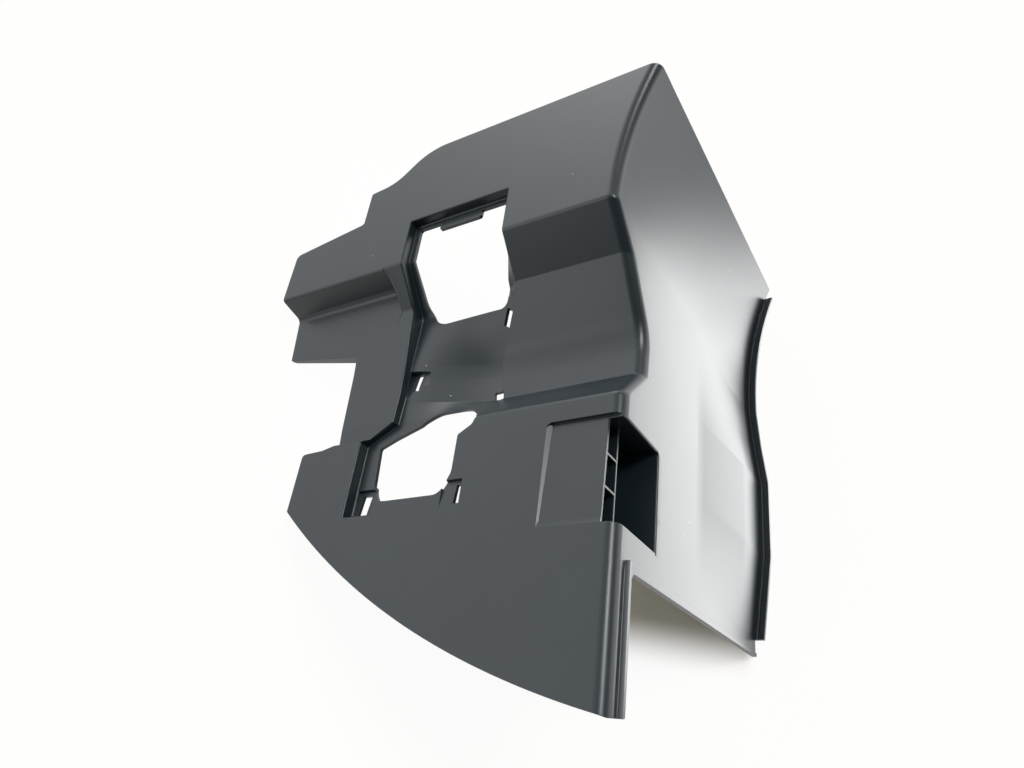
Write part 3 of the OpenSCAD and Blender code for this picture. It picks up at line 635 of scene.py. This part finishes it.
def skin(s):
    """The moulded sheet: outer form less inner form, trimmed to its two outlines."""
    outer, inner = Form(s, 0).solid("outer"), Form(s, s.wall).solid("inner")
    for form, inset in ((outer, 0), (inner, s.wall)):
        for dent in pressed_in(s, inset):
            combine(form, dent, "DIFFERENCE")
    sheet = combine(outer, inner, "DIFFERENCE")
    for extra in (notch_edge(s), tail_bead(s), side_hem(s)):
        combine(sheet, extra, "UNION")
    combine(sheet, prism("panel_area", panel_outline(s), -FAR, FAR), "INTERSECT")
    return combine(sheet, along_x("side_area", side_outline(s), -FAR, FAR), "INTERSECT")


def upper_window(s):
    left = -s.frame_x + s.window_left_gap
    right = -s.frame_right_x - s.window_right_gap
    top = s.frame_top_y - s.window_top_gap
    tab_right = -s.window_tab_x
    tab_left = tab_right - s.window_tab_w
    low = s.climb_y - s.window_low_drop
    return prism("upper_window", rounded([
        [left, top, 2], [tab_left, top, 0.5], [tab_left, top - s.window_tab_h, 1.5],
        [tab_right, top - s.window_tab_h, 2], [tab_right, top, 0.5], [right, top, 1],
        [right, s.plateau_y - 6, 8], [right - s.edge_run + s.draft, s.climb_y + 4, 6],
        [right - s.edge_run + s.draft, low, s.window_r * 0.7], [left + 12, low + 0.5, s.window_r],
        [left + 2, s.climb_y + 5, s.window_r], [left, s.plateau_y + 6, s.window_r]], 10, closed=True),
        -DEEP, DEEP)


def lower_window(s):
    left, right = -s.low_window_left, -s.low_window_right
    top = s.low_step_y + s.low_step_run / 2 + 1.5
    corner_y = s.low_wall_y - s.low_window_gap / 2
    return prism("lower_window", rounded([
        [left - 0.6, corner_y, 2], [left + 12, corner_y + s.low_window_gap, 6], [left + 32, corner_y + 12.5, 6],
        [left + 44, top - 0.5, 16], [-s.low_window_tip - 15, top + 2.5, 16], [-s.low_window_tip, s.low_step_y, 1],
        [-s.low_window_tip - 2.6, s.shoulder_y + 6, 3], [right, s.shoulder_y, 2], [right, s.low_window_y + 14, 12],
        [right - 6.5, s.low_window_y, 9], [left + 2.8, s.low_window_y, s.low_corner_r]], 10, closed=True),
        -DEEP, DEEP)


def slot(x, y, width, depth, angle):
    """A clip slot with its middle at x and y, turned by an angle in degrees."""
    piece = box("slot", (-width / 2, -depth / 2, -DEEP), (width / 2, depth / 2, DEEP))
    piece.data.transform(Matrix.Translation((x, y, 0)) @ Matrix.Rotation(math.radians(angle), 4, "Z"))
    return piece


def slots(s):
    return [
        slot(-s.fold_x + 8, s.climb_y - 19.5, s.slot_w, s.slot_len - 2, -28),
        slot(-s.frame_x + s.slot_gap, s.valley_top_y - 12.4, s.slot_w + 1, s.slot_len + 1.6, -2),
        slot(-s.frame_low_x + s.slot_gap + 1.8, s.frame_low_y + 10, s.wide_slot_w, s.wide_slot_len, -2),
        slot(-s.low_window_right + s.slot_gap, s.low_window_y - 0.8, s.slot_w, s.slot_len, 0),
        slot(-s.fold_x - 0.4, s.valley_y + 3, s.hook_hole, s.hook_hole, 8),
    ]


def lip_strip(s, from_x, to_x, low, high):
    ys = np.linspace(s.lip_low_y, s.lip_top_y, 100)
    edge = np.array([wall_face(s, y, -s.side_depth) for y in ys])
    outline = np.concatenate([np.stack([edge + from_x, ys], 1), np.stack([edge + to_x, ys], 1)[::-1]])
    return prism("lip", outline, low, high)


def pocket_area(s, extra, low_top, high_top):
    """The pocket seen from the side, with its deep upper corner rounded."""
    return rounded([
        [-extra, low_top], [-extra, -s.pocket_depth - extra],
        [s.pocket_len + extra, -s.pocket_depth - extra, s.rim_r + extra], [s.pocket_len + extra, high_top]],
        8, closed=True)


def rim_cut(s):
    """What the rounding takes off the pocket's rim: the rim's section swept round two sides and a corner."""
    r = s.rim_r
    arc = fillet(np.array([0, -r]), np.array([0.0, 0.0]), np.array([r, 0]), r, 8)
    section = np.concatenate([arc, [[r, 1], [-1, 1], [-1, -r]]])
    corner = np.array([s.pocket_len - r, r - s.pocket_depth])
    path = [(np.array([-1.0, corner[1]]), -90.0), (corner, -90.0)]
    path += [(corner, -90 + 90 * i / 8) for i in range(1, 9)]
    path.append((np.array([corner[0], 0.0]), 0.0))
    points = []
    for centre, degrees in path:
        out = np.array([math.cos(math.radians(degrees)), math.sin(math.radians(degrees))])
        for u, x in section:
            y, z = centre + out * (r + u)
            points.append((x, y, z))
    n, m = len(section), len(path)
    faces = [list(range(n)), list(range((m - 1) * n, m * n))[::-1]]
    faces += [[i * n + k, i * n + (k + 1) % n, (i + 1) * n + (k + 1) % n, (i + 1) * n + k]
              for i in range(m - 1) for k in range(n)]
    return solid("rim", points, faces)


def web_nodes():
    """Geometry Nodes tree that sets equal webs along a line, and the identifiers of its inputs."""
    tree = bpy.data.node_groups.new("pocket_webs", "GeometryNodeTree")
    inputs = {}
    for name, kind in (("Webs", "Int"), ("First web", "Vector"), ("Step", "Vector"), ("Size", "Vector"),
                       ("Plastic", "Material")):
        inputs[name] = tree.interface.new_socket(
            name=name, in_out="INPUT", socket_type="NodeSocket" + kind).identifier
    tree.interface.new_socket(name="Geometry", in_out="OUTPUT", socket_type="NodeSocketGeometry")
    entry = add(tree, "NodeGroupInput").outputs
    line = add(tree, "GeometryNodeMeshLine", {"mode": "OFFSET"},
               {"Count": entry["Webs"], "Start Location": entry["First web"], "Offset": entry["Step"]})
    web = add(tree, "GeometryNodeMeshCube", {}, {"Size": entry["Size"]})
    webs = add(tree, "GeometryNodeInstanceOnPoints", {},
               {"Points": line.outputs["Mesh"], "Instance": web.outputs["Mesh"]})
    real = add(tree, "GeometryNodeRealizeInstances", {}, {"Geometry": webs.outputs["Instances"]})
    painted = add(tree, "GeometryNodeSetMaterial", {},
                  {"Geometry": real.outputs["Geometry"], "Material": entry["Plastic"]})
    add(tree, "NodeGroupOutput", {}, {"Geometry": painted.outputs["Geometry"]})
    return tree, inputs


def pocket_shelf(s, plastic):
    """The shelf under the pad and the webs that carry it."""
    start, end = -s.pocket_reach - s.wall / 2, -s.pad_edge - 0.4
    low = -s.shelf_z - s.web_t
    web_low, web_high = low + s.web_t / 2, -s.wall
    webs = bpy.data.objects.new("webs", bpy.data.meshes.new("webs"))
    bpy.context.scene.collection.objects.link(webs)
    step = webs.modifiers.new("webs", "NODES")
    step.node_group, inputs = web_nodes()
    first = ((start + end) / 2, s.web_y - s.web_gap + s.web_t / 2, (web_low + web_high) / 2)
    for name, value in (
            ("Webs", 2), ("First web", first), ("Step", (0.0, s.web_gap, 0.0)),
            ("Size", (end - start, s.web_t, web_high - web_low)), ("Plastic", plastic)):
        step[inputs[name]] = value
    webs.data = bpy.data.meshes.new_from_object(webs.evaluated_get(bpy.context.evaluated_depsgraph_get()))
    webs.modifiers.clear()
    return [box("shelf", (start, -s.wall / 2, low), (end, s.pocket_len + s.wall / 2, -s.shelf_z)), webs]


def shell_solid(s, plastic):
    """The whole moulding, in millimetres in its own frame."""
    body = skin(s)
    w = s.wall
    bottom = -s.side_depth - w / 2
    for from_x, to_x, low, high in (
            (-w / 2, s.lip_w, -s.side_depth - 0.9 * w, -s.side_depth),
            (s.bead_gap, s.bead_gap + s.bead_w, bottom, -s.side_depth + s.bead_h),
            (2 * s.bead_gap + s.bead_w, s.lip_w, bottom, -s.side_depth + s.bead_h / 2)):
        combine(body, lip_strip(s, from_x, to_x, low, high), "UNION")
    below_ridge = rounded([[-FAR, 0], [0, 0, s.ridge_r], [0, -FAR], [-FAR, -FAR]], 10, closed=True)
    pocket = along_x("pocket", pocket_area(s, w, -w / 2, -s.pad_depth - w / 2), -s.pocket_reach - w, 0)
    combine(pocket, prism("below_ridge", below_ridge, -FAR, FAR, (0, 2, 1)), "INTERSECT")
    combine(body, pocket, "UNION")
    openings = [
        along_x("pocket_space", pocket_area(s, 0, 0.1 - w, 0.3 - s.pad_depth - w), -s.pocket_reach, FAR),
        box("mouth", (-s.pad_edge, 0, -2 * w), (FAR, s.pocket_len, DEEP)), rim_cut(s),
        upper_window(s), lower_window(s), *slots(s)]
    for opening in openings:
        combine(body, opening, "DIFFERENCE")
    for piece in pocket_shelf(s, plastic):
        combine(body, piece, "UNION")
    return body


def add(tree, kind, settings=None, links=None):
    """Adds a node, sets its properties and input values, and links its inputs."""
    node = tree.nodes.new(kind)
    for key, value in (settings or {}).items():
        if isinstance(key, str) and hasattr(node, key):
            setattr(node, key, value)
        else:
            node.inputs[key].default_value = value
    for key, source in (links or {}).items():
        tree.links.new(source, node.inputs[key])
    return node


def satin_polypropylene(finish):
    """Injection-moulded polypropylene, dark slate grey. The mould's fine grain makes it satin: it
    mirrors pale surroundings softly at a low angle and looks almost black where it faces dark ones.
    A few pale specks of dust lie on it."""
    material = bpy.data.materials.new("satin_moulded_polypropylene")
    material.use_nodes = True
    tree = material.node_tree
    tree.nodes.clear()
    place = add(tree, "ShaderNodeTexCoord")
    patches = add(tree, "ShaderNodeTexNoise", {"Scale": 1 / finish.patch, "Detail": 4.0, "Roughness": 0.6},
                  {"Vector": place.outputs["Object"]})
    body = add(tree, "ShaderNodeMix", {"data_type": "RGBA", 6: (*finish.body, 1), 7: (*finish.bloom, 1)},
               {0: patches.outputs["Fac"]})
    cell = add(tree, "ShaderNodeTexVoronoi", {"Scale": 1 / finish.speck_gap}, {"Vector": place.outputs["Object"]})
    reach = finish.speck / 2 / finish.speck_gap
    speck = add(tree, "ShaderNodeMapRange", {"From Min": 0.6 * reach, "From Max": reach, "To Min": 1.0, "To Max": 0.0},
                {"Value": cell.outputs["Distance"]})
    dusted = add(tree, "ShaderNodeMix", {"data_type": "RGBA", 7: (*finish.dust, 1)},
                 {0: speck.outputs["Result"], 6: body.outputs[2]})
    gloss = add(tree, "ShaderNodeMapRange", {"To Min": finish.roughness - 0.02, "To Max": finish.roughness + 0.02},
                {"Value": patches.outputs["Fac"]})
    grain = add(tree, "ShaderNodeTexNoise", {"Scale": 1 / finish.grain, "Detail": 2.0},
                {"Vector": place.outputs["Object"]})
    rounded_edge = add(tree, "ShaderNodeBevel", {"samples": 6, "Radius": 0.5 * MM})
    bump = add(tree, "ShaderNodeBump", {"Strength": 0.12, "Distance": 0.05 * MM},
               {"Height": grain.outputs["Fac"], "Normal": rounded_edge.outputs["Normal"]})
    shader = add(tree, "ShaderNodeBsdfPrincipled", {"IOR": finish.ior}, {
        "Base Color": dusted.outputs[2], "Roughness": gloss.outputs["Result"], "Normal": bump.outputs["Normal"]})
    add(tree, "ShaderNodeOutputMaterial", {}, {"Surface": shader.outputs["BSDF"]})
    return material


def step_at(tree, value, start, end):
    """Rises softly from 0 to 1 while a value goes from start to end, both in millimetres."""
    settings = {"interpolation_type": "SMOOTHSTEP", "From Min": start * MM, "From Max": end * MM}
    if start > end:
        settings.update({"From Min": end * MM, "From Max": start * MM, "To Min": 1.0, "To Max": 0.0})
    return add(tree, "ShaderNodeMapRange", settings, {"Value": value}).outputs["Result"]


def times(tree, first, second):
    return add(tree, "ShaderNodeMath", {"operation": "MULTIPLY"}, {0: first, 1: second}).outputs[0]


def seen_by(tree, *rays):
    """Is 1 for any of the named kinds of ray."""
    path = add(tree, "ShaderNodeLightPath")
    total = path.outputs[rays[0]]
    for ray in rays[1:]:
        total = add(tree, "ShaderNodeMath", {"operation": "MAXIMUM"}, {0: total, 1: path.outputs[ray]}).outputs[0]
    return total


def paper(stage):
    """Matt white paper under the tray, with a painted white glow: an emission, not a lamp, that camera, mirror and
    glass rays see, so the tray also mirrors it. Those rays see the paper close to plain white, with only a little of
    the tray's shadow left; under the tray, where the windows show it, the glow paints out nearly all of the shadow. In
    the notch beside the flange the glow is left out, and the whole shadow shows."""
    material = bpy.data.materials.new("matt_white_paper")
    material.use_nodes = True
    tree = material.node_tree
    shader = tree.nodes["Principled BSDF"]
    shader.inputs["Base Color"].default_value = (*stage.floor, 1)
    shader.inputs["Roughness"].default_value = 0.9
    place = add(tree, "ShaderNodeTexCoord")
    axes = add(tree, "ShaderNodeSeparateXYZ", {}, {0: place.outputs["Object"]})
    below, notch = (
        times(tree, times(tree, step_at(tree, axes.outputs["X"], *edges["left"]),
                          step_at(tree, axes.outputs["X"], *edges["right"])),
              times(tree, step_at(tree, axes.outputs["Y"], *edges["front"]),
                    step_at(tree, axes.outputs["Y"], *edges["back"])))
        for edges in (BELOW_TRAY, NOTCH_SHADE))
    # Share of painted white glow, raised under the tray to paint out its shadow there
    share = add(tree, "ShaderNodeMapRange", {"To Min": stage.glow, "To Max": stage.painted_glow_under_tray}, {"Value": below})
    clear = add(tree, "ShaderNodeMath", {"operation": "SUBTRACT", 0: 1.0}, {1: notch})
    seen = seen_by(tree, "Is Camera Ray", "Is Glossy Ray", "Is Transmission Ray")
    # Painted light: where the paper shows white glow for camera, mirror and glass rays instead of its shade
    painted_glow_share = times(tree, times(tree, share.outputs["Result"], clear.outputs[0]), seen)
    white = add(tree, "ShaderNodeEmission", {"Color": (1, 1, 1, 1), "Strength": 1.0})
    both = add(tree, "ShaderNodeMixShader", {}, {0: painted_glow_share, 1: shader.outputs["BSDF"], 2: white.outputs["Emission"]})
    tree.links.new(both.outputs["Shader"], tree.nodes["Material Output"].inputs["Surface"])
    return material


def room_light(stage):
    """A dim room with bright windows and walls, each a soft glow round its own direction. The camera,
    also through glass, sees plain white instead."""
    world = bpy.data.worlds.new("room")
    world.use_nodes = True
    tree = world.node_tree
    view = add(tree, "ShaderNodeTexCoord").outputs["Generated"]
    total = None
    for name, azimuth, elevation, narrow, strength in ROOM:
        a, e = math.radians(azimuth), math.radians(elevation)
        facing = add(tree, "ShaderNodeVectorMath", {
            "operation": "DOT_PRODUCT", 1: (math.cos(a) * math.cos(e), math.sin(a) * math.cos(e), math.sin(e))},
            {0: view})
        fade = add(tree, "ShaderNodeMath", {"operation": "MULTIPLY_ADD", 1: narrow, 2: -narrow},
                   {0: facing.outputs["Value"]})
        glow = add(tree, "ShaderNodeMath", {"operation": "EXPONENT"}, {0: fade.outputs[0]})
        glow.label = name
        part = add(tree, "ShaderNodeMath", {"operation": "MULTIPLY_ADD", 1: strength * stage.room, 2: 0.0},
                   {0: glow.outputs[0]})
        if total:
            tree.links.new(total, part.inputs[2])
        total = part.outputs[0]
    seen = seen_by(tree, "Is Camera Ray", "Is Transmission Ray")
    strength = add(tree, "ShaderNodeMix", {"data_type": "FLOAT", 3: 1.0}, {0: seen, 2: total})
    tree.links.new(strength.outputs[0], tree.nodes["Background"].inputs["Strength"])
    tree.nodes["Background"].inputs["Color"].default_value = (1, 1, 1, 1)
    return world


class TRAY_OT_shell(bpy.types.Operator):
    """Build the moulded shell"""
    bl_idname = "tray.shell"
    bl_label = "Moulded shell"

    def execute(self, context):
        s = Sizes(context.scene)
        plastic = satin_polypropylene(context.scene.tray_finish)
        piece = shell_solid(s, plastic)
        piece.name = piece.data.name = "moulded_shell"
        piece.data.transform(rest_place(s))
        mesh = piece.data
        mesh.shade_smooth()
        mesh.set_sharp_from_angle(angle=math.radians(30))
        weighted = piece.modifiers.new("weighted_normals", "WEIGHTED_NORMAL")
        weighted.keep_sharp = True
        mesh.materials.clear()
        mesh.materials.append(plastic)
        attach(piece, "root")
        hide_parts("shell")
        print("shell", len(mesh.polygons), "faces")
        return {"FINISHED"}


def light_panel(stage):
    """A light panel that lies beside the side wall and lights it at a low angle."""
    lamp = bpy.data.lights.new("light_panel", "AREA")
    lamp.shape, lamp.energy = "RECTANGLE", stage.panel
    lamp.size, lamp.size_y = stage.panel_w, stage.panel_len
    light = bpy.data.objects.new("light_panel", lamp)
    light.location = (stage.panel_x, stage.panel_y, stage.panel_lift)
    light.rotation_euler = (math.pi, 0, 0)
    light.visible_camera = False
    bpy.context.scene.collection.objects.link(light)


class TRAY_OT_stage(bpy.types.Operator):
    """Build the floor, the room's light and the camera"""
    bl_idname = "tray.stage"
    bl_label = "Floor, light and camera"

    def execute(self, context):
        scene, stage = context.scene, context.scene.tray_stage
        mesh = bpy.data.meshes.new("floor")
        mesh.from_pydata([(-3, -3, 0), (3, -3, 0), (3, 3, 0), (-3, 3, 0)], [], [(0, 1, 2, 3)])
        floor = bpy.data.objects.new("floor", mesh)
        scene.collection.objects.link(floor)
        mesh.materials.append(paper(stage))
        light_panel(stage)
        scene.world = room_light(stage)
        place_camera(Sizes(scene), stage)
        scene.view_settings.view_transform = "Standard"
        return {"FINISHED"}


def place_camera(s, stage):
    """Camera solved for the moulding's own frame and turned with it into the rest pose."""
    right = unit(np.array([0.8512, 0.1225, -0.5103]))
    down = np.array([-0.1703, -0.8552, -0.4895])
    down = unit(down - right * (down @ right))
    ahead = np.cross(right, down)
    place = rest_place(s)
    turn = place.to_3x3().normalized()
    axes = Matrix([turn @ Vector(right), turn @ Vector(-down), turn @ Vector(-ahead)]).transposed()
    camera = bpy.data.objects.new("camera", bpy.data.cameras.new("camera"))
    camera.data.sensor_width, camera.data.lens = 36.0, stage.focal
    camera.matrix_world = Matrix.Translation(place @ Vector((170.3, -154.0, 353.4))) @ axes.to_4x4()
    bpy.context.scene.collection.objects.link(camera)
    bpy.context.scene.camera = camera


class TRAY_PT_panel(bpy.types.Panel):
    """Lists the tray's pieces"""
    bl_label = "Battery tray"
    bl_idname = "TRAY_PT_panel"
    bl_space_type = "VIEW_3D"
    bl_region_type = "UI"
    bl_category = "Battery tray"

    def draw(self, context):
        for operator in OPERATORS:
            self.layout.operator(operator.bl_idname)


OPERATORS = [TRAY_OT_shell, TRAY_OT_stage]
SETTINGS = {**GROUPS, "tray_finish": PlasticFinish, "tray_stage": StageSettings}


def register():
    for item in [*SETTINGS.values(), *OPERATORS, TRAY_PT_panel]:
        bpy.utils.register_class(item)
    for key, group in SETTINGS.items():
        setattr(bpy.types.Scene, key, bpy.props.PointerProperty(type=group))


def unregister():
    for key in SETTINGS:
        delattr(bpy.types.Scene, key)
    for item in [TRAY_PT_panel, *OPERATORS, *SETTINGS.values()]:
        bpy.utils.unregister_class(item)


def main():
    register()
    bpy.ops.tray.shell()
    bpy.ops.tray.stage()


if __name__ == "__main__":
    main()
